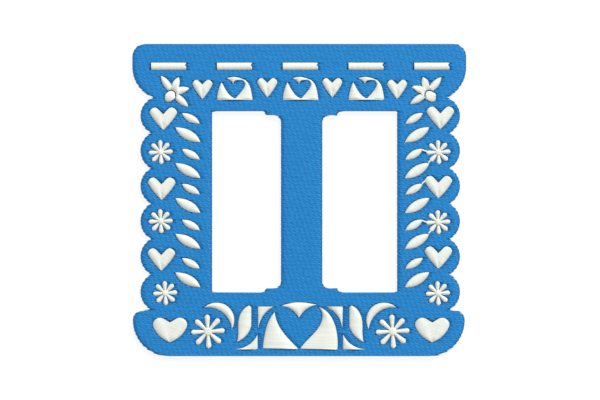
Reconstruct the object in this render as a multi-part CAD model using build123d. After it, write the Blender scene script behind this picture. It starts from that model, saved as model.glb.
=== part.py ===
from build123d import *
import math
import os

# An embroidered papel picado panel, in millimetres. It lies flat on its back with +Z up.
# X runs to the panel's right and Y towards its top edge. The origin is under the middle of the panel.
# From the back up it is bobbin thread, ground cloth, blue fill stitching and raised cream motifs.

os.makedirs("parts", exist_ok=True)

# ---- layers ---------------------------------------------------------------------------------
bobbin_thickness = 0.2        # white lower thread, locked flat on the back
cloth_thickness = 0.5         # woven twill ground
fill_thickness = 0.5          # flat rows of blue fill stitches
satin_rise = 0.35             # how far the cream satin stands above the blue fill

# ---- the panel's outline --------------------------------------------------------------------
panel_width = 70.0
panel_height = 65.45
top_corner_radius = 2.7
top_lobe_height = 11.25       # from the top edge down to the first notch
top_lobe_side = 2.2           # straight part of the top lobe's side
left_notch_depth = 4.55       # the first notch, in from the left edge
right_notch_depth = 4.15
bottom_lobe_height = 9.75     # from the last notch down to the bottom edge
bottom_shoulder_radius = 1.95
bottom_shoulder_drop = 0.25   # how far the bottom lobe's upper edge slopes down
scallops_per_side = 6
scallop_depth = 2.3
left_valley_inset = 4.0       # valleys between scallops, in from the left edge
right_valley_inset = 3.6
left_foot_inset = 0.1         # the foot is a little narrower than the top
right_foot_inset = 0.3

# ---- the two windows and the bar between them -----------------------------------------------
top_band = 14.15
bottom_band = 13.4
left_band = 16.75
right_band = 14.5
left_window_width = 14.4
bar_width = 8.7
bar_step_width = 3.05         # stepped shoulder at each end of the bar
bar_step_height = 0.85
bar_step_slope = 0.5
bar_corner_radius = 1.35

# ---- dash bars and the row of motifs under them ---------------------------------------------
dash_count = 5
dash_length = 7.35
dash_width = 1.65
dash_gap = 6.43
dash_centre_x = 0.2
dash_drop = 4.7               # from the top edge to the dashes' middle
dash_notch = 0.3
top_heart_width = 4.2
top_heart_height = 4.1
top_heart_centre_x = 0.1
top_heart_drop = 9.25         # from the top edge to the middle of the two inner hearts
outer_heart_sink = 0.35       # the two outer hearts sit a little lower
arch_width = 7.55
arch_centre_x = 0.28
arch_spread = 0.2             # the arches stand this much further apart than the hearts
top_row_gap = 0.925           # blue between an arch and the heart beside it
arch_height = 4.8
arch_drop = 11.75             # from the top edge to the arches' straight foot
flower_drop = 10.3            # from the top edge to a corner flower's eye
left_flower_gap = 4.15        # from the outer heart's side to the flower's eye
right_flower_gap = 4.35
long_petal = 4.4
short_petal = 3.6
petal_width = 1.5
flower_eye_radius = 0.6
bud_length = 2.6
bud_width = 1.95
bud_reach = 0.95              # from the eye to the bud's middle
bud_gap = 0.22                # dark line between the bud and the petals

# ---- motifs down the sides ------------------------------------------------------------------
side_heart_width = 5.8
side_heart_height = 4.8
side_daisy_radius = 2.55
daisy_petals = 8
daisy_turn = 3.0              # degrees
petal_width_share = 0.4       # a side daisy's petal width as a share of its radius
petal_neck_share = 0.13       # any daisy's petal neck and eye as shares of its radius
daisy_eye_share = 0.17
# one value per scallop, from the top: in from the panel's edge, and down from the scallop's middle
left_motif_insets = (6.5, 5.95, 6.15, 5.95, 6.1, 6.9)
right_motif_insets = (5.45, 5.85, 5.85, 5.9, 5.85, 5.95)
left_motif_drops = (0.8, 0.35, 0.65, 0.0, 0.65, 0.25)
right_motif_drops = (0.6, 0.35, 0.3, 0.2, 0.25, 0.3)
small_leaf_length = 4.35
small_leaf_width = 1.6
large_leaf_length = 6.15
large_leaf_width = 2.1
left_leaf_turn = -31.5        # degrees, from the outer tip inwards
right_leaf_turn = 212.0
left_leaf_skew = 0.06         # the left leaves' bellies lean along the leaf
leaf_pair_drops = (0.0, 0.1, 0.0, 0.1, 0.75)    # one value per pair, down from its scallop's place
small_tip_rise = 0.45         # small leaves' outer tips, above their scallop's middle
large_tip_rise = 1.2          # large leaves' outer tips, above the notch under that scallop
left_small_tip_inset = 10.4   # outer tips, in from the panel's edge
left_large_tip_inset = 9.0
right_small_tip_inset = 9.1
right_large_tip_inset = 7.7

# ---- motifs along the bottom ----------------------------------------------------------------
bottom_foot = 1.42            # from the bottom edge up to the motifs' straight foot
bottom_centre_x = 0.2
bottom_heart_width = 7.1
bottom_heart_height = 5.2
bottom_heart_lift = 4.05      # heart middle, above the foot
left_bottom_heart_gap = 0.85  # blue between a big daisy and the heart beside it
right_bottom_heart_gap = 1.2
big_daisy_radius = 3.55
big_petal_width_share = 0.33
big_daisy_lift = 3.75
crescent_gap = 1.45           # blue between a big daisy and the crescent round it
crescent_thickness = 1.7
crescent_start = 5.0          # degrees round the daisy, from the side nearer the middle
crescent_end = 100.0
medallion_gap = 0.35          # blue between the medallion group and the crescents
medallion_width = 28.0        # the whole middle group
medallion_height = 10.0

# ---- worked out from the sizes above --------------------------------------------------------
left_edge = -panel_width / 2
right_edge = panel_width / 2
top_edge = panel_height / 2
bottom_edge = -panel_height / 2
cloth_z = bobbin_thickness
fill_z = cloth_z + cloth_thickness
satin_thickness = fill_thickness + satin_rise
scallop_top = top_edge - top_lobe_height
scallop_bottom = bottom_edge + bottom_lobe_height
scallop_pitch = (scallop_top - scallop_bottom) / scallops_per_side
window_top = top_edge - top_band
window_bottom = bottom_edge + bottom_band
bar_left = left_edge + left_band + left_window_width
bar_right = bar_left + bar_width
foot_y = bottom_edge + bottom_foot
dash_pitch = dash_length + dash_gap
top_row_pitch = arch_width + top_heart_width + 2 * top_row_gap
crescent_radius = big_daisy_radius + crescent_gap
big_daisy_reach = medallion_width / 2 + medallion_gap + crescent_radius
bottom_heart_reach = big_daisy_reach + big_daisy_radius + bottom_heart_width / 2
diagonal = math.sqrt(0.5)


def shape(start, *legs):
    """A closed face. A leg of one point is a line, of two an arc, and of more a smooth curve."""
    edges = []
    here = start
    for leg in legs:
        points = [here, *leg]
        if len(points) == 2:
            edges.append(Line(*points))
        elif len(points) == 3:
            edges.append(ThreePointArc(*points))
        else:
            edges.append(Spline(*points))
        here = points[-1]
    return make_face(edges)


def between(a, b, bulge):
    """The middle point of an arc from a to b that stands bulge to the left of the straight line."""
    dx, dy = b[0] - a[0], b[1] - a[1]
    length = math.hypot(dx, dy)
    return ((a[0] + b[0]) / 2 - bulge * dy / length, (a[1] + b[1]) / 2 + bulge * dx / length)


# ---- the panel --------------------------------------------------------------------------------
def side_legs(edge, inward, notch_depth, valley_inset, foot_inset):
    """The outline of one side, from the top corner down to the bottom corner, as legs for shape.
    inward is 1 on the left side and -1 on the right."""
    def inset(depth, y):
        return (edge + inward * depth, y)

    def quarter_round(radius, corner_y, up):
        """The point half-way round a quarter circle that leaves the side at corner_y."""
        return inset(radius * (1 - diagonal), corner_y + up * radius * diagonal)

    lobe_top = top_edge - top_corner_radius
    lobe_turn = lobe_top - top_lobe_side
    legs = [[quarter_round(top_corner_radius, lobe_top, 1), inset(0, lobe_top)], [inset(0, lobe_turn)]]
    # the lobe's side curls in to the first notch on an arc that starts straight down
    drop = lobe_turn - scallop_top
    radius = (notch_depth ** 2 + drop ** 2) / (2 * notch_depth)
    half_turn = math.asin(drop / radius) / 2
    middle = inset(radius * (1 - math.cos(half_turn)), lobe_turn - radius * math.sin(half_turn))
    legs.append([middle, inset(notch_depth, scallop_top)])
    for index in range(scallops_per_side):
        middle_y = scallop_top - (index + 0.5) * scallop_pitch
        crest = inset(valley_inset - scallop_depth, middle_y)
        legs.append([crest, inset(valley_inset, middle_y - scallop_pitch / 2)])
    shoulder_y = scallop_bottom - bottom_shoulder_drop
    widest_y = shoulder_y - bottom_shoulder_radius
    low_radius = widest_y - bottom_edge
    edge += inward * foot_inset
    legs.append([inset(bottom_shoulder_radius, shoulder_y)])
    legs.append([quarter_round(bottom_shoulder_radius, widest_y, 1), inset(0, widest_y)])
    legs.append([quarter_round(low_radius, widest_y, -1), inset(low_radius, bottom_edge)])
    return legs


def reversed_legs(start, legs):
    """The same path walked backwards, as its new start and its legs."""
    back = []
    ends = [start] + [leg[-1] for leg in legs]
    for index in range(len(legs) - 1, -1, -1):
        back.append([*legs[index][:-1][::-1], ends[index]])
    return ends[-1], back


def window_face(outer_x, bar_x):
    """One window. Its corners away from the bar are square, and each end of the bar has a step."""
    away = 1 if bar_x < outer_x else -1       # from the bar into the window
    step_x = bar_x + away * bar_step_width
    slope_x = step_x + away * bar_step_slope
    round_x = bar_x + away * bar_corner_radius
    quarter = bar_corner_radius * (1 - diagonal)
    high, low = window_top - bar_step_height, window_bottom + bar_step_height
    return shape((outer_x, window_top),
                 [(slope_x, window_top)], [(step_x, high)], [(round_x, high)],
                 [(bar_x + away * quarter, high - quarter), (bar_x, high - bar_corner_radius)],
                 [(bar_x, low + bar_corner_radius)],
                 [(bar_x + away * quarter, low + quarter), (round_x, low)],
                 [(step_x, low)], [(slope_x, window_bottom)],
                 [(outer_x, window_bottom)], [(outer_x, window_top)])


def panel_face():
    left_start = (left_edge + top_corner_radius, top_edge)
    right_start = (right_edge - top_corner_radius, top_edge)
    left_legs = side_legs(left_edge, 1, left_notch_depth, left_valley_inset, left_foot_inset)
    right_legs = side_legs(right_edge, -1, right_notch_depth, right_valley_inset, right_foot_inset)
    right_end, right_back = reversed_legs(right_start, right_legs)
    outline = shape(left_start, *left_legs, [right_end], *right_back, [left_start])
    left_window = window_face(left_edge + left_band, bar_left)
    right_window = window_face(right_edge - right_band, bar_right)
    return outline - left_window - right_window


# ---- motifs, each drawn about its own middle or foot -------------------------------------------
def heart_face(width, height, cleft=0.3, shoulder=0.25, fullness=0.03, lobe=0.29):
    """A heart. cleft and shoulder are depths below the top as shares of the height, fullness is
    how far the lower sides bulge, and lobe is each lobe's top from the middle, as shares of the width."""
    top, tip = height / 2, (0, -height / 2)
    dip = (0, top - cleft * height)
    right = (width / 2, top - shoulder * height)
    left = (-width / 2, top - shoulder * height)
    outer, inner = 0.44 * width, 0.13 * width
    high, low = top - 0.08 * height, top - 0.45 * cleft * height
    return shape(tip, [between(tip, right, -fullness * width), right],
                 [(outer, high), (lobe * width, top), (inner, low), dip],
                 [(-inner, low), (-lobe * width, top), (-outer, high), left],
                 [between(left, tip, -fullness * width), tip])


def leaf_face(length, width, skew=0.0):
    """A pointed leaf along X from 0. skew moves one side's belly along the leaf and the other's back."""
    reach = 2 / 3 * width          # a cubic curve bulges three quarters as far as its two handles
    near, far, lean = 0.275 * length, 0.725 * length, skew * length
    upper = Bezier((0, 0), (near + lean, reach), (far + lean, reach), (length, 0))
    lower = Bezier((length, 0), (far - lean, -reach), (near - lean, -reach), (0, 0))
    return make_face([upper, lower])


def petal_face(length, width, neck, start):
    """A petal along X from start, a narrow neck that opens to a rounded end."""
    wide = length - 0.62 * width
    return shape((start, -neck / 2), [(wide, -width / 2)], [(length, 0), (wide, width / 2)],
                 [(start, neck / 2)], [(start, -neck / 2)])


def daisy_face(radius, width_share):
    eye = daisy_eye_share * radius
    face = Circle(eye)
    petal = petal_face(radius, width_share * radius, petal_neck_share * radius, start=eye / 2)
    for index in range(daisy_petals):
        face += Rot(0, 0, daisy_turn + index * 360 / daisy_petals) * petal
    return face


def dash_face():
    half, top = dash_length / 2, dash_width / 2
    return shape((-half, -top), [(half, -top)], [(half, top - 3 * dash_notch)],
                 [(half - dash_notch, top - 2 * dash_notch)], [(half, top - dash_notch)],
                 [(half, top)], [(-half, top)], [(-half, -top)])


def arch_face():
    """A small arch that frames an open heart: a horn on each side and a crest, in one run of satin.
    It is drawn on a foot at y = 0, from -1 to 1 across and 0 to 1 up, then brought to size."""
    def at(x, y):
        return (x * arch_width / 2, y * arch_height)

    return shape(at(-1, 0), [at(-0.91, 0.45), at(-0.74, 0.79)],
                 [at(-0.53, 0.48), at(-0.28, 0.21), at(0.03, 0.06)],
                 [at(0.24, 0.25), at(0.45, 0.46), at(0.56, 0.68)],
                 [at(0.46, 0.83), at(0.27, 0.88)],
                 [at(0.05, 0.83), at(-0.1, 0.68)],
                 [at(-0.24, 0.84), at(-0.48, 0.92)],
                 [at(-0.24, 0.99), at(0.12, 0.99), at(0.5, 0.9)],
                 [at(0.75, 0.73), at(0.91, 0.4), at(1, 0)],
                 [at(-1, 0)])


def flower_face(petals, bud_turn):
    """A corner flower: petals about an eye, each a turn and a length, and a separate bud between two."""
    face = Circle(flower_eye_radius)
    for turn, length in petals:
        face += Rot(0, 0, turn) * leaf_face(length, petal_width)
    place = Rot(0, 0, bud_turn) * Pos(bud_reach, 0)
    bud = place * Ellipse(bud_length / 2, bud_width / 2)
    gap = place * Ellipse(bud_length / 2 + bud_gap, bud_width / 2 + bud_gap)
    return (face - gap) + bud


def crescent_face(side):
    """A crescent round a big daisy, about the daisy's middle. side is -1 on the left, 1 on the right."""
    def at(degrees, radius):
        turn = math.radians(degrees)
        return (-side * radius * math.cos(turn), radius * math.sin(turn))

    middle = (crescent_start + crescent_end) / 2
    start, end = at(crescent_start, crescent_radius), at(crescent_end, crescent_radius)
    return shape(start, [at(middle, crescent_radius + crescent_thickness), end],
                 [at(middle, crescent_radius), start])


grid_across, grid_up = 28, 10     # squares of the grid that the middle group is drawn on


def medallion_point(x, y):
    """A point of the middle group's grid, from its foot's middle, in millimetres."""
    return (x * medallion_width / grid_across, y * medallion_height / grid_up)


def half_lens_face(side):
    """A lens cut straight on its inner side."""
    def at(x, y):
        return medallion_point(side * x, y)

    return shape(at(13.3, 1.55), [at(13.05, 3.4), at(12.85, 6.6), at(12.0, 8.3), at(10.7, 9.25)],
                 [at(10.25, 8.8)], [at(10.25, 4.9)], [at(11.2, 3.0), at(13.3, 1.55)])


def upper_scrap_face(side):
    """A small triangle with a hollow long side, beside the medallion's top."""
    def at(x, y):
        return medallion_point(side * x, y)

    return shape(at(5.35, 9.0), [at(8.95, 9.0)], [at(8.8, 4.1)], [at(7.5, 7.4), at(5.35, 9.0)])


def lower_scrap_face(side):
    """A small triangle with a hollow long side, at the medallion's foot."""
    def at(x, y):
        return medallion_point(side * x, y)

    return shape(at(8.9, 0), [at(8.95, 3.2)], [at(10.5, 1.2), at(13.9, 0.1)], [at(13.9, 0)], [at(8.9, 0)])


def medallion_crest_face():
    at = medallion_point
    return shape(at(-4.05, 9.05), [at(-2.0, 9.75), at(-0.3, 9.95), at(1.7, 9.75), at(3.7, 9.35)],
                 [at(1.2, 8.3), at(-0.3, 6.5)], [at(-1.7, 8.2), at(-4.05, 9.05)])


def medallion_left_horn_face():
    at = medallion_point
    return shape(at(-7.85, 0.2), [at(-7.5, 3.0), at(-6.65, 5.9), at(-5.3, 7.95)],
                 [at(-4.7, 5.4), at(-2.8, 2.6), at(-0.4, 0.1)], [at(-7.85, 0.2)])


def medallion_right_horn_face():
    at = medallion_point
    return shape(at(3.85, 8.9), [at(4.6, 7.1), at(4.3, 5.5), at(2.6, 3.1), at(0.0, 0.1)],
                 [at(7.8, 0)], [at(7.8, 2.4), at(7.3, 5.0), at(5.9, 7.6), at(3.85, 8.9)])


# ---- where each motif sits --------------------------------------------------------------------
motifs = {}

for index in range(dash_count):
    x = (index - (dash_count - 1) / 2) * dash_pitch + dash_centre_x
    motifs[f"dash_bar_{index + 1}"] = Pos(x, top_edge - dash_drop) * dash_face()

top_heart = heart_face(top_heart_width, top_heart_height, cleft=0.24)
for index, sink in enumerate((outer_heart_sink, 0, 0, outer_heart_sink)):
    x = (index - 1.5) * top_row_pitch + top_heart_centre_x
    motifs[f"top_heart_{index + 1}"] = Pos(x, top_edge - top_heart_drop - sink) * top_heart

for index in range(3):
    x = (index - 1) * (top_row_pitch + arch_spread) + arch_centre_x
    motifs[f"arch_{index + 1}"] = Pos(x, top_edge - arch_drop) * arch_face()

left_petals = ((124, long_petal), (69, short_petal), (17, short_petal), (-42, long_petal))
right_petals = ((50, long_petal), (107, short_petal), (156, short_petal), (212, long_petal))
outer_heart_side = 1.5 * top_row_pitch + top_heart_width / 2
for side_name, reach, petals, bud_turn in (
        ("left", -outer_heart_side - left_flower_gap, left_petals, -128),
        ("right", outer_heart_side + right_flower_gap, right_petals, -52)):
    place = Pos(reach + top_heart_centre_x, top_edge - flower_drop)
    motifs[f"corner_flower_{side_name}"] = place * flower_face(petals, bud_turn)

side_heart = heart_face(side_heart_width, side_heart_height)
side_daisy = daisy_face(side_daisy_radius, petal_width_share)
for side_name, edge, inward, insets, drops in (
        ("left", left_edge, 1, left_motif_insets, left_motif_drops),
        ("right", right_edge, -1, right_motif_insets, right_motif_drops)):
    for index in range(scallops_per_side):
        y = scallop_top - (index + 0.5) * scallop_pitch - drops[index]
        kind, face = (("heart", side_heart), ("daisy", side_daisy))[index % 2]
        motifs[f"{side_name}_{kind}_{index // 2 + 1}"] = Pos(edge + inward * insets[index], y) * face

for side_name, edge, inward, turn, skew, small_inset, large_inset in (
        ("left", left_edge, 1, left_leaf_turn, left_leaf_skew, left_small_tip_inset, left_large_tip_inset),
        ("right", right_edge, -1, right_leaf_turn, 0, right_small_tip_inset, right_large_tip_inset)):
    small_leaf = Rot(0, 0, turn) * leaf_face(small_leaf_length, small_leaf_width, skew)
    large_leaf = Rot(0, 0, turn) * leaf_face(large_leaf_length, large_leaf_width, skew)
    for index, drop in enumerate(leaf_pair_drops):
        small_y = scallop_top - (index + 0.5) * scallop_pitch + small_tip_rise - drop
        large_y = scallop_top - (index + 1) * scallop_pitch + large_tip_rise - drop
        small = Pos(edge + inward * small_inset, small_y) * small_leaf
        large = Pos(edge + inward * large_inset, large_y) * large_leaf
        motifs[f"{side_name}_leaf_pair_{index + 1}"] = small + large

bottom_heart = heart_face(bottom_heart_width, bottom_heart_height, cleft=0.19, shoulder=0.36, fullness=0.075)
big_daisy = daisy_face(big_daisy_radius, big_petal_width_share)
for side_name, side, heart_gap in (
        ("left", -1, left_bottom_heart_gap), ("right", 1, right_bottom_heart_gap)):
    heart_x = bottom_centre_x + side * (bottom_heart_reach + heart_gap)
    heart_place = Pos(heart_x, foot_y + bottom_heart_lift)
    daisy_place = Pos(bottom_centre_x + side * big_daisy_reach, foot_y + big_daisy_lift)
    middle_place = Pos(bottom_centre_x, foot_y)
    motifs[f"bottom_heart_{side_name}"] = heart_place * bottom_heart
    motifs[f"big_daisy_{side_name}"] = daisy_place * big_daisy
    motifs[f"crescent_{side_name}"] = daisy_place * crescent_face(side)
    motifs[f"half_lens_{side_name}"] = middle_place * half_lens_face(side)
    motifs[f"upper_scrap_{side_name}"] = middle_place * upper_scrap_face(side)
    motifs[f"lower_scrap_{side_name}"] = middle_place * lower_scrap_face(side)

motifs["medallion_crest"] = Pos(bottom_centre_x, foot_y) * medallion_crest_face()
motifs["medallion_horn_left"] = Pos(bottom_centre_x, foot_y) * medallion_left_horn_face()
motifs["medallion_horn_right"] = Pos(bottom_centre_x, foot_y) * medallion_right_horn_face()

# ---- solids -------------------------------------------------------------------------------------
panel = panel_face()
fill = panel
for face in motifs.values():
    fill = fill - face

nodes = {
    "bobbin_thread": extrude(panel, bobbin_thickness),
    "ground_cloth": Pos(0, 0, cloth_z) * extrude(panel, cloth_thickness),
    "blue_fill": Pos(0, 0, fill_z) * extrude(fill, fill_thickness),
}
for name, face in motifs.items():
    nodes[name] = Pos(0, 0, fill_z) * extrude(face, satin_thickness)

for name, solid in nodes.items():
    export_step(solid, f"parts/{name}.step")
print(len(nodes), "nodes")
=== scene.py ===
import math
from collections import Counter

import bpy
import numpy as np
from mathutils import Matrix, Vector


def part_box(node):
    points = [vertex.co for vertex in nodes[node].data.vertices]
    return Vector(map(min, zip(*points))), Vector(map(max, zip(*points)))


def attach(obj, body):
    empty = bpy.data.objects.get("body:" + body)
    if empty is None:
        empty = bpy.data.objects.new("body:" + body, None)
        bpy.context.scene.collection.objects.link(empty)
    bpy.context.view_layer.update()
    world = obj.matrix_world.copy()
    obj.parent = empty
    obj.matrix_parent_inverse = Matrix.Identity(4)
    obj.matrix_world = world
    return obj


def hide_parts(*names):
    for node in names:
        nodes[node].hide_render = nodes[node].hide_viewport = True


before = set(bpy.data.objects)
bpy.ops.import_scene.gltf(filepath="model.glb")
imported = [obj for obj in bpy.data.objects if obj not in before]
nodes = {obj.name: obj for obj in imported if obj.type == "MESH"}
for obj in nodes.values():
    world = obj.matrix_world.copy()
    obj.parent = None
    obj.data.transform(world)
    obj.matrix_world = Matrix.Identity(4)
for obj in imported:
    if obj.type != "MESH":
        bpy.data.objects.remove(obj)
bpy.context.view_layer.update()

# %% [markdown]
# # An embroidered papel picado panel
# Papel picado is Mexican cut tissue paper. This panel says the same thing in thread: rows of blue
# fill stitches for the paper, and raised cream satin stitches for the holes that a chisel would cut.
# It is stitched by a machine on a piece of cloth, and cut out round its edge and its two windows.
#
# Everything is in metres. The outlines are read from the CAD pieces, so each thread ends
# exactly where its CAD piece ends.

MM = 0.001
rng = np.random.default_rng(7)

FILL_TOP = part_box("blue_fill")[1].z
FILL_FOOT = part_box("blue_fill")[0].z
SATIN_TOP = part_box("arch_2")[1].z
CLOTH_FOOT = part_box("ground_cloth")[0].z

# %% [markdown]
# ## Reading an outline
# The upper face of a CAD piece is a set of triangles. An edge that only one triangle uses is on the
# outline. A thread's two ends are where its line crosses that outline.

# %% The outline of a piece, and where a line crosses it
def outline(name):
    """The edges round a CAD piece's upper face, as two arrays of points."""
    mesh = nodes[name].data
    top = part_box(name)[1].z
    corners = {}
    uses = Counter()
    for face in mesh.polygons:
        if face.normal.z < 0.99:
            continue
        points = [mesh.vertices[index].co for index in face.vertices]
        if min(point.z for point in points) < top - 0.01 * MM:
            continue
        keys = [(round(point.x / MM, 4), round(point.y / MM, 4)) for point in points]
        corners.update(zip(keys, points))
        for a, b in zip(keys, keys[1:] + keys[:1]):
            uses[(min(a, b), max(a, b))] += 1
    rim = [edge for edge, count in uses.items() if count == 1]
    starts = np.array([corners[a][:2] for a, b in rim])
    ends = np.array([corners[b][:2] for a, b in rim])
    return starts, ends


def crossings(edges, point, way):
    """Where a line through point, along way, is inside the outline: pairs of distances along it."""
    starts, ends = edges
    side = (starts - point) @ np.array((-way[1], way[0]))
    other = (ends - point) @ np.array((-way[1], way[0]))
    cut = (side <= 0) != (other <= 0)
    share = side[cut] / (side[cut] - other[cut])
    hits = np.sort(((starts[cut] - point) + share[:, None] * (ends[cut] - starts[cut])) @ np.array(way))
    return [(hits[i], hits[i + 1]) for i in range(0, len(hits) - 1, 2)]


def direction(degrees):
    turn = math.radians(degrees)
    return np.array((math.cos(turn), math.sin(turn)))


print("blue fill outline has", len(outline("blue_fill")[0]), "edges")

# %% [markdown]
# ## Colours and small node helpers
# Embroidery thread is dyed polyester: smooth, twisted and with a soft shine.

# %% Materials
def colour(code):
    """A hex colour as Blender's linear numbers."""
    values = [int(code[i:i + 2], 16) / 255 for i in (0, 2, 4)]
    return (*(v / 12.92 if v <= 0.04045 else ((v + 0.055) / 1.055) ** 2.4 for v in values), 1)


def add(material, kind, settings=(), **links):
    """Adds a node with its settings, and links its inputs. An input's name has _ for a space."""
    tree = material.node_tree
    node = tree.nodes.new(kind)
    for key, value in dict(settings).items():
        if hasattr(node, key):
            setattr(node, key, value)
        else:
            node.inputs[key].default_value = value
    for key, source in links.items():
        tree.links.new(source, node.inputs[int(key[1:]) if key[0] == "i" and key[1:].isdigit()
                                           else key.replace("_", " ")])
    return node


def wave_scale(period):
    """The wave texture's scale for stripes that repeat at period: it draws sin(20 x scale)."""
    return 2 * math.pi / 20 / period


def thread_material(name, dark, light, roughness, shine, twist_depth):
    """Dyed polyester embroidery thread. Each stitch has its own shade, and its two plies twist."""
    material = bpy.data.materials.new(name)
    material.use_nodes = True
    shader = material.node_tree.nodes["Principled BSDF"]
    link = material.node_tree.links.new
    shade = add(material, "ShaderNodeAttribute", {"attribute_name": "shade"})
    ramp = add(material, "ShaderNodeValToRGB", Fac=shade.outputs["Fac"])
    ramp.color_ramp.elements[0].color = colour(dark)
    ramp.color_ramp.elements[1].color = colour(light)
    link(ramp.outputs["Color"], shader.inputs["Base Color"])
    shader.inputs["Roughness"].default_value = roughness
    shader.inputs["Specular IOR Level"].default_value = shine
    # the plies' twist: slanting lines in the thread's own UV map, whose unit is a millimetre
    uv = add(material, "ShaderNodeUVMap", {"uv_map": "thread"})
    turned = add(material, "ShaderNodeMapping", {"Rotation": (0, 0, math.radians(28))}, Vector=uv.outputs[0])
    twist = add(material, "ShaderNodeTexWave", {"Scale": wave_scale(0.25), "Distortion": 0.6, "Detail": 1.0},
                Vector=turned.outputs[0])
    bump = add(material, "ShaderNodeBump", {"Strength": 0.5, "Distance": twist_depth},
               Height=twist.outputs["Fac"])
    link(bump.outputs[0], shader.inputs["Normal"])
    return material


def paint_hole_shade_and_sheen(material, dark, light):
    """The fill's needle holes line up in slanting rows, so the light catches it like fine twill: painted
    shade along those rows, and a fine noise of painted sheen.
    """
    link = material.node_tree.links.new
    shader = material.node_tree.nodes["Principled BSDF"]
    place = add(material, "ShaderNodeTexCoord")
    total = None
    # painted shade: darker slanting lines where the needle holes dip
    for angle, period, share in HOLE_SHADE_LINES:
        turned = add(material, "ShaderNodeMapping", {"Rotation": (0, 0, -math.radians(angle))},
                     Vector=place.outputs["Object"])
        lines = add(material, "ShaderNodeTexWave", {"Scale": wave_scale(period), "Distortion": 0.0},
                    Vector=turned.outputs[0])
        part = add(material, "ShaderNodeMath", {"operation": "MULTIPLY"}, i0=lines.outputs["Fac"])
        part.inputs[1].default_value = share
        total = part if total is None else add(material, "ShaderNodeMath", {"operation": "ADD"},
                                               i0=total.outputs[0], i1=part.outputs[0])
    # painted sheen: a fine noise of lighter and darker spots over the thread
    sheen_noise = add(material, "ShaderNodeTexNoise", {"Scale": 1 / (0.45 * MM), "Detail": 1.0},
               Vector=place.outputs["Object"])
    part = add(material, "ShaderNodeMath", {"operation": "MULTIPLY"}, i0=sheen_noise.outputs["Fac"])
    part.inputs[1].default_value = SHEEN_NOISE_SHARE
    total = add(material, "ShaderNodeMath", {"operation": "ADD"}, i0=total.outputs[0], i1=part.outputs[0])
    # dark and light ends: the painted shade and the painted sheen
    ramp = add(material, "ShaderNodeValToRGB", Fac=total.outputs[0])
    ramp.color_ramp.elements[0].color = colour(dark)
    ramp.color_ramp.elements[1].color = colour(light)
    old = shader.inputs["Base Color"].links[0].from_socket
    blend = add(material, "ShaderNodeMix", {"data_type": "RGBA"})
    blend.inputs[0].default_value = 0.75
    link(old, blend.inputs[6])
    link(ramp.outputs["Color"], blend.inputs[7])
    link(blend.outputs[2], shader.inputs["Base Color"])


# painted shade of the needle holes: direction across the lines in degrees, period in metres, and share of the
# whole pattern
HOLE_SHADE_LINES = ((18, 0.97 * MM, 0.22), (90, 0.8 * MM, 0.13), (58, 0.55 * MM, 0.25))
SHEEN_NOISE_SHARE = 0.4

blue = thread_material("blue_polyester_thread", "1C80C2", "228CD0", 0.55, 0.2, 0.008 * MM)
# the fill's painted shade and sheen, mixed into its own blue
paint_hole_shade_and_sheen(blue, "0F62A0", "35A6EE")
cream = thread_material("cream_polyester_thread", "F4F6E6", "FBFDF0", 0.5, 0.3, 0.006 * MM)
white = thread_material("white_bobbin_thread", "DAD8D0", "F2F0EA", 0.6, 0.3, 0.008 * MM)

# underlay: the same blue thread, painted darker for the shade between the rows, in bands 0.4 mm apart of
# painted shade
blue_under = bpy.data.materials.new("blue_polyester_underlay")
blue_under.use_nodes = True
under_place = add(blue_under, "ShaderNodeTexCoord")
under_rows = add(blue_under, "ShaderNodeTexWave", {"Scale": wave_scale(0.4 * MM), "bands_direction": "Y"},
                 Vector=under_place.outputs["Object"])
# painted shade: a darker blue than the fill, with darker bands along the rows
under_shade_ramp = add(blue_under, "ShaderNodeValToRGB", Fac=under_rows.outputs["Fac"])
under_shade_ramp.color_ramp.elements[0].color = colour("1668A4")
under_shade_ramp.color_ramp.elements[1].color = colour("1A78B6")
under_shader = blue_under.node_tree.nodes["Principled BSDF"]
under_shader.inputs["Roughness"].default_value = 0.7
under_shader.inputs["Specular IOR Level"].default_value = 0.2
blue_under.node_tree.links.new(under_shade_ramp.outputs["Color"], under_shader.inputs["Base Color"])

# woven twill: two sets of fine lines, 0.35 mm apart, in object coordinates
twill = bpy.data.materials.new("white_cotton_twill")
twill.use_nodes = True
place = add(twill, "ShaderNodeTexCoord")
weave = add(twill, "ShaderNodeTexWave", {"Scale": wave_scale(0.35 * MM), "Distortion": 0.4,
                                         "bands_direction": "DIAGONAL"}, Vector=place.outputs["Object"])
weave_bump = add(twill, "ShaderNodeBump", {"Strength": 0.6, "Distance": 0.03 * MM},
                 Height=weave.outputs["Fac"])
weave_ramp = add(twill, "ShaderNodeValToRGB", Fac=weave.outputs["Fac"])
weave_ramp.color_ramp.elements[0].color = colour("D9D5CA")
weave_ramp.color_ramp.elements[1].color = colour("F0EDE4")
twill_shader = twill.node_tree.nodes["Principled BSDF"]
twill_shader.inputs["Roughness"].default_value = 0.85
twill.node_tree.links.new(weave_ramp.outputs["Color"], twill_shader.inputs["Base Color"])
twill.node_tree.links.new(weave_bump.outputs[0], twill_shader.inputs["Normal"])
print(len(bpy.data.materials), "materials")

# %% [markdown]
# ## One thread
# A thread on the surface is a flattened half round. It is a strip of faces: a few points across its
# width, at several places along it. Thousands are laid by the same rule, as the machine lays them,
# so a strip is worked out from the lines that its points across follow.

# %% A bundle of threads becomes one mesh
ACROSS = np.array((-1.0, -0.5, 0.0, 0.5, 1.0))   # places across a thread, as shares of its half width


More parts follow.
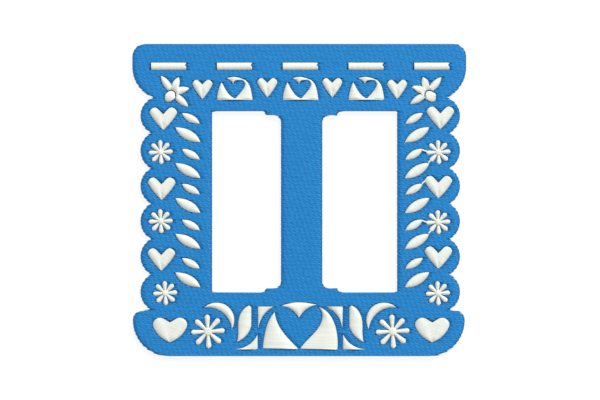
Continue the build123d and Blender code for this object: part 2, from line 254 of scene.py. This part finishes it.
class Bundle:
    """Collects strips of thread, and makes one object of them."""

    def __init__(self):
        self.points, self.faces, self.shades, self.uvs = [], [], [], []
        self.count = 0

    def strip(self, grid, shade, width, length):
        """grid is places along by places across, each a point in metres."""
        along, across = grid.shape[:2]
        self.points.append(grid.reshape(-1, 3))
        index = self.count + np.arange(along * across).reshape(along, across)
        quads = np.stack((index[:-1, :-1], index[1:, :-1], index[1:, 1:], index[:-1, 1:]), -1)
        self.faces.append(quads.reshape(-1, 4))
        self.shades.append(np.full(along * across, shade))
        u = np.linspace(0, length / MM, along)[:, None] * np.ones(across)
        v = np.ones(along)[:, None] * np.linspace(0, width / MM, across)
        self.uvs.append(np.stack((u, v), -1).reshape(-1, 2))
        self.count += along * across

    def build(self, name, material, replaced):
        mesh = bpy.data.meshes.new(name)
        points = np.concatenate(self.points)
        faces = np.concatenate(self.faces)
        mesh.from_pydata(points.tolist(), [], faces.tolist())
        attribute = mesh.attributes.new("shade", "FLOAT", "POINT")
        attribute.data.foreach_set("value", np.concatenate(self.shades).astype(np.float32))
        uv = mesh.uv_layers.new(name="thread")
        uv.data.foreach_set("uv", np.concatenate(self.uvs)[faces.reshape(-1)].astype(np.float32).ravel())
        mesh.polygons.foreach_set("use_smooth", np.ones(len(faces), bool))
        mesh.materials.append(material)
        thing = bpy.data.objects.new(name, mesh)
        bpy.context.scene.collection.objects.link(thing)
        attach(thing, "root")
        if replaced:
            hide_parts(*replaced)
        return thing


def nearest(intervals, middle):
    """The interval that holds middle, or the one nearest to it."""
    return min(intervals, key=lambda span: max(span[0] - middle, middle - span[1], 0))


# %% [markdown]
# ## The blue fill
# A machine lays fill in rows 0.4 mm apart, with stitches 4 mm long. It sets the needle holes of
# each row a little over a quarter stitch from those of the row before, so no furrow forms. The
# thread goes out along one row and back along the next, so rows lie in pairs that meet at one end.

# %% Blue fill
ROW = 0.4 * MM
STITCH = 4.08 * MM
ROW_STEP = 1.15 * MM           # how far the needle holes move from one row to the next
END_TURN = 1.3 * MM            # the last part of a row, which curves to meet its neighbour
END_PULL = 0.1 * MM
END_DROP = 0.4 * MM            # how far the row rolls over the cloth's cut edge
HOLE_DIP = 0.06 * MM           # a needle hole's depth
FILL_ALONG = 8
END_NARROW = 0.3               # a row's end is this share narrower
SLANT = 0.7 * MM               # the furthest a row's end may slant along a slanting outline
EXACT = 0.001 * MM
OFFSETS = np.linspace(-1, 1, 9)


def covered(beside, x, share):
    """The place across a row, at most share, that the outline still covers at x."""
    for place in sorted(range(len(OFFSETS)), key=lambda i: abs(OFFSETS[i] - share)):
        if abs(OFFSETS[place]) <= abs(share) + 0.01 and OFFSETS[place] * share >= 0:
            if any(start - EXACT <= x <= end + EXACT for start, end in beside[place]):
                return OFFSETS[place]
    return 0.0


def fill_rows(bundle, edges, top, foot, half_width, pitch, upward=1):
    """Rows of fill stitches. They face up, or down where upward is -1."""
    starts, ends = edges
    lowest, highest = starts[:, 1].min(), starts[:, 1].max()
    rows = int((highest - lowest) / pitch)
    pitch = (highest - lowest) / (rows + 1)
    t = np.linspace(0, 1, FILL_ALONG)
    ease = t + np.sin(2 * np.pi * t) / (-2 * np.pi) * 0.55
    made = 0
    for row in range(rows + 1):
        y = highest - (row + 0.5) * pitch
        turn = END_PULL if row % 2 else -END_PULL
        beside = [crossings(edges, np.array((0, y + share * half_width)), (1, 0)) for share in OFFSETS]
        for left, right in beside[len(OFFSETS) // 2]:
            first = math.ceil((left - row * ROW_STEP) / STITCH)
            last = math.floor((right - row * ROW_STEP) / STITCH)
            holes = [h * STITCH + row * ROW_STEP + rng.normal(0, 0.04 * MM) for h in range(first, last + 1)]
            stops = [left, *(h for h in holes if left + 0.7 * MM < h < right - 0.7 * MM), right]
            for a, b in zip(stops[:-1], stops[1:]):
                x = np.zeros((FILL_ALONG, len(ACROSS)))
                line_y = np.zeros_like(x)
                for k, share in enumerate(ACROSS):
                    # each place across ends where the outline ends it
                    near = nearest(beside[2 * k] or [(left, right)], (a + b) / 2)
                    begin = min(max(near[0], left - SLANT), left + SLANT) if a == left else a
                    finish = min(max(near[1], right - SLANT), right + SLANT) if b == right else b
                    x[:, k] = begin + (finish - begin) * ease
                    line_y[:, k] = [y + covered(beside, place, share) * half_width for place in x[:, k]]
                near_left = np.clip(1 - (x - left) / END_TURN, 0, 1)
                near_right = np.clip(1 - (right - x) / END_TURN, 0, 1)
                narrow = 1 - END_NARROW * (near_left + near_right) ** 2
                line_y = y + (line_y - y) * narrow + (near_left ** 2 - near_right ** 2) * turn
                dip = HOLE_DIP * (np.abs(2 * t - 1) ** 8)[:, None]
                roll = END_DROP * (near_left ** 3 + near_right ** 5)
                furrow = FURROW * (1 + 6 * (near_left + near_right) ** 2) * ACROSS[None, :] ** 2
                height = top - dip - roll - furrow - rng.uniform(0, 0.012 * MM)
                height = np.maximum(height, foot)
                if upward < 0:
                    height = top + foot - height
                grid = np.stack((x, np.clip(line_y, lowest, highest), height), -1)
                bundle.strip(grid[:, ::-1] if upward < 0 else grid, rng.uniform(0, 1),
                             2 * half_width, b - a)
                made += 1
    return made


FURROW = 0.03 * MM             # how far a thread's sides lie below its middle
fill = Bundle()
made = fill_rows(fill, outline("blue_fill"), FILL_TOP, FILL_FOOT, 0.25 * MM, ROW)
fill.build("blue_fill_stitches", blue, ["blue_fill"])
print(made, "blue stitches,", 2 * sum(len(f) for f in fill.faces), "triangles")

# %% [markdown]
# ## The cream satin
# Satin is thread thrown from one side of a shape to the other, each beside the last. It stands up in
# the middle because it is pulled tight over the stitches under it, and dives at both sides. So the
# thread's direction is what shapes the light: across a leaf or a petal, and out from the crease
# of a heart.

# %% Satin threads
SATIN_PITCH = 0.27 * MM
SATIN_HALF = 0.2 * MM
SATIN_FOOT = FILL_TOP - 0.3 * MM
SATIN_ALONG = 11
RIB = 0.05 * MM


def satin_thread(bundle, spans, lines, crease=0, rounding=1.8):
    """One thread of satin. spans has a start and an end for each place across, lines the point and
    direction of each. crease is the height at the start (-1) or end (1) that stays up, or 0."""
    lengths = [b - a for a, b in spans]
    length = max(lengths[len(lengths) // 2], 1e-6)
    peak = (SATIN_TOP - SATIN_FOOT) * min(1, (length / (1.5 * MM)) ** 0.6) - rng.uniform(0, 0.015 * MM)
    t = np.linspace(0, 1, SATIN_ALONG)
    t = 0.5 - 0.5 * np.cos(np.pi * t)
    arch = (1 - np.abs(2 * t - 1) ** rounding) ** (1 / rounding)
    if crease > 0:
        arch = np.where(t > 0.5, np.maximum(arch, 0.84), arch)
    elif crease < 0:
        arch = np.where(t < 0.5, np.maximum(arch, 0.84), arch)
    grid = np.zeros((SATIN_ALONG, len(ACROSS), 3))
    for k, ((a, b), (point, way)) in enumerate(zip(spans, lines)):
        line = point[None, :] + (a + (b - a) * t)[:, None] * way[None, :]
        grid[:, k, :2] = line
        grid[:, k, 2] = SATIN_FOOT + peak * arch - RIB * ACROSS[k] ** 2 * arch
    bundle.strip(grid, rng.uniform(0, 1), 2 * SATIN_HALF, length)


def satin_field(bundle, edges, degrees, keep=None, crease=0, rounding=1.8):
    """Parallel satin threads over a whole outline. keep(point, way, span) may shorten a span."""
    way = direction(degrees)
    normal = np.array((-way[1], way[0]))
    reach = np.concatenate(edges) @ normal
    low_v, high_v = reach.min(), reach.max()
    count = max(2, int(round((high_v - low_v) / SATIN_PITCH)))
    pitch = (high_v - low_v) / count

    def spans_at(v):
        found = crossings(edges, normal * v, way)
        if keep:
            found = [span for span in (keep(normal * v, way, s) for s in found) if span]
        return [s for s in found if s[1] - s[0] > 0.02 * MM]

    for j in range(count):
        v = low_v + (j + 0.5) * pitch
        for a, b in spans_at(v):
            spans, lines = [], []
            for share in ACROSS:
                w = v + share * SATIN_HALF
                w = min(max(w, low_v + 0.01 * MM), high_v - 0.01 * MM)
                options = spans_at(w)
                span = nearest(options, (a + b) / 2) if options else (a, b)
                if span[1] < a or span[0] > b:
                    span = (a, b)
                spans.append(span)
                lines.append((normal * w, way))
            satin_thread(bundle, spans, lines, crease, rounding)


def petal_field(bundle, edges, centre, degrees, start, reach, wedge):
    """Threads across one petal of a flower, from start to its tip."""
    axis = direction(degrees)
    across = np.array((-axis[1], axis[0]))
    slope = math.tan(math.radians(wedge))

    def span_at(r):
        point = centre + axis * r
        found = [s for s in crossings(edges, point, across) if s[0] < 0.05 * MM and s[1] > -0.05 * MM]
        if not found:
            return None
        limit = max(r, start) * slope
        a, b = found[0]
        return max(a, -limit), min(b, limit)

    tip = max(r for r in np.arange(start, reach, 0.02 * MM) if span_at(r))
    count = max(2, int(round((tip - start) / SATIN_PITCH)))
    for j in range(count):
        r = start + (j + 0.5) * (tip - start) / count
        spans, lines = [], []
        for share in ACROSS:
            q = min(max(r + share * SATIN_HALF, start), tip)
            span = span_at(q) or span_at(r)
            spans.append(span)
            lines.append((centre + axis * q, across))
        satin_thread(bundle, spans, lines)


def centre_of(name):
    corner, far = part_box(name)
    return np.array(((corner.x + far.x) / 2, (corner.y + far.y) / 2))


def heart_field(bundle, name, slant):
    """A heart in two halves. Threads slope up from each side to a crease down the middle."""
    edges = outline(name)
    middle_x = centre_of(name)[0]

    def half(side):
        def keep(point, way, span):
            limit = (middle_x - point[0]) / way[0]
            a, b = span
            if (way[0] > 0) == (side < 0):
                b = min(b, limit)
            else:
                a = max(a, limit)
            return (a, b) if b > a else None
        return keep

    satin_field(bundle, edges, slant, half(-1), crease=1)
    satin_field(bundle, edges, 180 - slant, half(1), crease=1)


def daisy_field(bundle, name, first_turn=3.0, petals=8):
    edges = outline(name)
    centre = centre_of(name)
    corner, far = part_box(name)
    radius = (far.x - corner.x) / 2
    for index in range(petals):
        petal_field(bundle, edges, centre, first_turn + index * 360 / petals,
                    0.1 * radius, 1.1 * radius, 180 / petals)
    eye(bundle, centre, 0.24 * radius, SATIN_TOP - 0.05 * MM)


def eye(bundle, centre, radius, rise):
    """The knot of thread where a flower's petals meet: threads over a small dome."""
    count = max(3, int(round(2 * radius / (0.2 * MM))))
    t = np.linspace(-1, 1, SATIN_ALONG)
    for j in range(count):
        v = -radius + (j + 0.5) * 2 * radius / count
        grid = np.zeros((SATIN_ALONG, len(ACROSS), 3))
        for k, share in enumerate(ACROSS):
            w = min(max(v + share * 0.12 * MM, -radius), radius)
            half = math.sqrt(max(radius ** 2 - w ** 2, 0))
            x = t * half
            dome = np.sqrt(np.maximum(1 - (x ** 2 + w ** 2) / radius ** 2, 0))
            grid[:, k] = np.stack((centre[0] + x, centre[1] + w + 0 * x,
                                   rise - 0.3 * MM * (1 - dome) - RIB * share ** 2), -1)
        bundle.strip(grid, rng.uniform(0, 1), 0.24 * MM, 2 * radius)


def piece(name, sew):
    bundle = Bundle()
    sew(bundle)
    bundle.build(name + "_satin", cream, [name])
    return bundle.count


total = 0
for name in sorted(nodes):
    if name.startswith("dash_bar"):
        total += piece(name, lambda b: satin_field(b, outline(name), 90))
    elif name.startswith("top_heart") or "_heart_" in name and not name.startswith("bottom"):
        total += piece(name, lambda b: heart_field(b, name, 42))
    elif name.startswith("bottom_heart"):
        total += piece(name, lambda b: heart_field(b, name, 20))
    elif "daisy" in name:
        total += piece(name, lambda b: daisy_field(b, name))
    elif name.startswith("left_leaf"):
        total += piece(name, lambda b: satin_field(b, outline(name), 58.5))
    elif name.startswith("right_leaf"):
        total += piece(name, lambda b: satin_field(b, outline(name), 122))
    elif name.startswith(("arch", "half_lens", "medallion_horn", "upper_scrap", "lower_scrap")):
        total += piece(name, lambda b: satin_field(b, outline(name), 0))
    elif name.startswith("medallion_crest"):
        total += piece(name, lambda b: satin_field(b, outline(name), 90))
    elif name.startswith("crescent"):
        turn = 35 if name.endswith("left") else 145
        total += piece(name, lambda b: satin_field(b, outline(name), turn))
    elif name.startswith("corner_flower"):
        turn = 60 if name.endswith("left") else 120
        total += piece(name, lambda b: satin_field(b, outline(name), turn))
print(total, "points of satin")

# %% [markdown]
# ## Joining threads
# The machine doesn't always trim between motifs. On the right side a few fine cream threads still
# run from a leaf's tip to the next flower or heart.

# %% Joining threads
def joining_thread(number, start, end, half_width=0.16 * MM):
    """A fine thread that lies on the blue from one motif to the next."""
    start, end = np.array(start) * MM, np.array(end) * MM
    way = (end - start) / np.linalg.norm(end - start)
    normal = np.array((-way[1], way[0]))
    t = np.linspace(0, 1, SATIN_ALONG)
    grid = np.zeros((SATIN_ALONG, len(ACROSS), 3))
    for k, share in enumerate(ACROSS):
        grid[:, k, :2] = start + t[:, None] * (end - start) + share * half_width * normal
        grid[:, k, 2] = FILL_TOP + 0.02 * MM + 0.16 * MM * (1 - share ** 2)
    bundle = Bundle()
    bundle.strip(grid, 0.9, 2 * half_width, np.linalg.norm(end - start))
    bundle.build(f"joining_thread_{number}", cream, [])


# start and end in mm, read off where each thread leaves its leaf and meets the next motif
JOINS = (((25.7, 10.5), (26.9, 10.1)), ((27.0, 7.75), (27.8, 8.6)), ((25.7, 3.4), (26.6, 4.2)),
         ((25.7, -4.3), (26.9, -4.75)), ((27.1, -6.95), (27.8, -6.2)))
for number, (start, end) in enumerate(JOINS, 1):
    joining_thread(number, start, end)
print(len(JOINS), "joining threads")

# %% [markdown]
# ## The cloth and the back
# The cloth is cut to the outline, a hair inside the stitches. The bobbin thread shows white behind.

# %% Ground cloth and bobbin thread
def slab(name, edges, foot, top, inset, material):
    """A sheet of cloth cut to an outline, a little inside it."""
    starts, ends = edges
    links = {}
    for a, b in zip(map(tuple, starts.round(7)), map(tuple, ends.round(7))):
        links.setdefault(a, []).append(b)
        links.setdefault(b, []).append(a)
    loops = []
    left = set(links)
    while left:
        loop = [left.pop()]
        while True:
            onward = [p for p in links[loop[-1]] if p in left]
            if not onward:
                break
            loop.append(onward[0])
            left.remove(onward[0])
        loops.append(np.array(loop))

    def area(loop):
        x, y = loop[:, 0], loop[:, 1]
        return float((x * np.roll(y, -1) - np.roll(x, -1) * y).sum() / 2)

    loops.sort(key=lambda loop: -abs(area(loop)))
    mesh = bpy.data.meshes.new(name)
    points, rim = [], []
    for number, loop in enumerate(loops):
        if (area(loop) > 0) != (number == 0):
            loop = loop[::-1]
        before, after = np.roll(loop, 1, 0), np.roll(loop, -1, 0)
        way = (after - before) / np.linalg.norm(after - before, axis=1)[:, None]
        loop = loop + inset * np.stack((-way[:, 1], way[:, 0]), 1)
        base = len(points)
        points += [(x, y, top) for x, y in loop]
        rim += [(base + i, base + (i + 1) % len(loop)) for i in range(len(loop))]
    mesh.from_pydata(points, rim, [])
    thing = bpy.data.objects.new(name, mesh)
    bpy.context.scene.collection.objects.link(thing)
    bpy.ops.object.select_all(action="DESELECT")
    bpy.context.view_layer.objects.active = thing
    thing.select_set(True)
    bpy.ops.object.mode_set(mode="EDIT")
    bpy.ops.mesh.select_all(action="SELECT")
    bpy.ops.mesh.fill()
    bpy.ops.mesh.extrude_region_move(TRANSFORM_OT_translate={"value": (0, 0, foot - top)})
    bpy.ops.mesh.select_all(action="SELECT")
    bpy.ops.mesh.normals_make_consistent(inside=False)
    bpy.ops.object.mode_set(mode="OBJECT")
    mesh.materials.append(material)
    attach(thing, "root")
    flat_area = sum(face.area for face in mesh.polygons if face.normal.z > 0.9)
    return thing, flat_area


cloth, cloth_area = slab("ground_cloth_cut", outline("ground_cloth"), CLOTH_FOOT, FILL_FOOT, 0.18 * MM, twill)
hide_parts("ground_cloth")
print("cloth area", round(cloth_area / MM ** 2, 1), "square mm")

# underlay: blue thread laid first, which closes the furrows between the rows
underlay, underlay_area = slab("blue_underlay", outline("blue_fill"), FILL_FOOT, FILL_TOP - 0.25 * MM,
                               0.06 * MM, blue_under)
print("underlay area", round(underlay_area / MM ** 2, 1), "square mm")

bobbin = Bundle()
fill_rows(bobbin, outline("bobbin_thread"), CLOTH_FOOT, 0.0, 0.3 * MM, 0.55 * MM, upward=-1)
back = bobbin.build("bobbin_stitches", white, ["bobbin_thread"])

# %% [markdown]
# ## Floor, light and camera
# A pale floor under the panel, one large soft lamp from the upper right, and a camera straight above.

# %% Floor
bpy.ops.mesh.primitive_plane_add(size=3, location=(0, 0, 0))
floor = bpy.context.object
floor.name = "floor"
paper = bpy.data.materials.new("white_table")
paper.use_nodes = True
tree = paper.node_tree
matt = tree.nodes["Principled BSDF"]
rays = add(paper, "ShaderNodeLightPath")
# a lit floor is just white to the camera, and its shadow stays a faint grey
tone = add(paper, "ShaderNodeMix", {"data_type": "RGBA"}, i0=rays.outputs["Is Camera Ray"])
tone.inputs[6].default_value = colour("F4F4F4")
tone.inputs[7].default_value = (0.2, 0.2, 0.2, 1)
tree.links.new(tone.outputs[2], matt.inputs["Base Color"])
matt.inputs["Roughness"].default_value = 0.9
glow = add(paper, "ShaderNodeEmission", {"Color": (1, 1, 1, 1)})
lift = add(paper, "ShaderNodeMath", {"operation": "MULTIPLY"}, i0=rays.outputs["Is Camera Ray"])
lift.inputs[1].default_value = 0.85
tree.links.new(lift.outputs[0], glow.inputs["Strength"])
both = add(paper, "ShaderNodeAddShader", i0=matt.outputs[0], i1=glow.outputs[0])
tree.links.new(both.outputs[0], tree.nodes["Material Output"].inputs["Surface"])
floor.data.materials.append(paper)

# %% Light
scene = bpy.context.scene
world = bpy.data.worlds.new("studio")
world.use_nodes = True
world.node_tree.nodes["Background"].inputs["Color"].default_value = colour("F2F6FF")
world.node_tree.nodes["Background"].inputs["Strength"].default_value = 0.52
scene.world = world


def lamp(name, place, size, power):
    light = bpy.data.lights.new(name, "AREA")
    light.size = size
    light.energy = power
    thing = bpy.data.objects.new(name, light)
    thing.location = place
    back_to = -np.array(place) / np.linalg.norm(place)
    from mathutils import Vector
    thing.rotation_euler = Vector(back_to).to_track_quat("-Z", "Y").to_euler()
    scene.collection.objects.link(thing)


lamp("key", (0.66, 1.04, 1.0), 0.42, 18.2)

# %% Camera
camera = bpy.data.cameras.new("camera")
camera.lens = 200
camera.sensor_width = 36
camera.clip_start, camera.clip_end = 0.01, 10
view = bpy.data.objects.new("camera", camera)
PICTURE_WIDTH = 125.68 * MM
distance = PICTURE_WIDTH / 2 / (camera.sensor_width / 2 / camera.lens)
view.location = (0.15 * MM, 0.0, FILL_TOP + distance)
scene.collection.objects.link(view)
scene.camera = view
scene.view_settings.view_transform = "Standard"
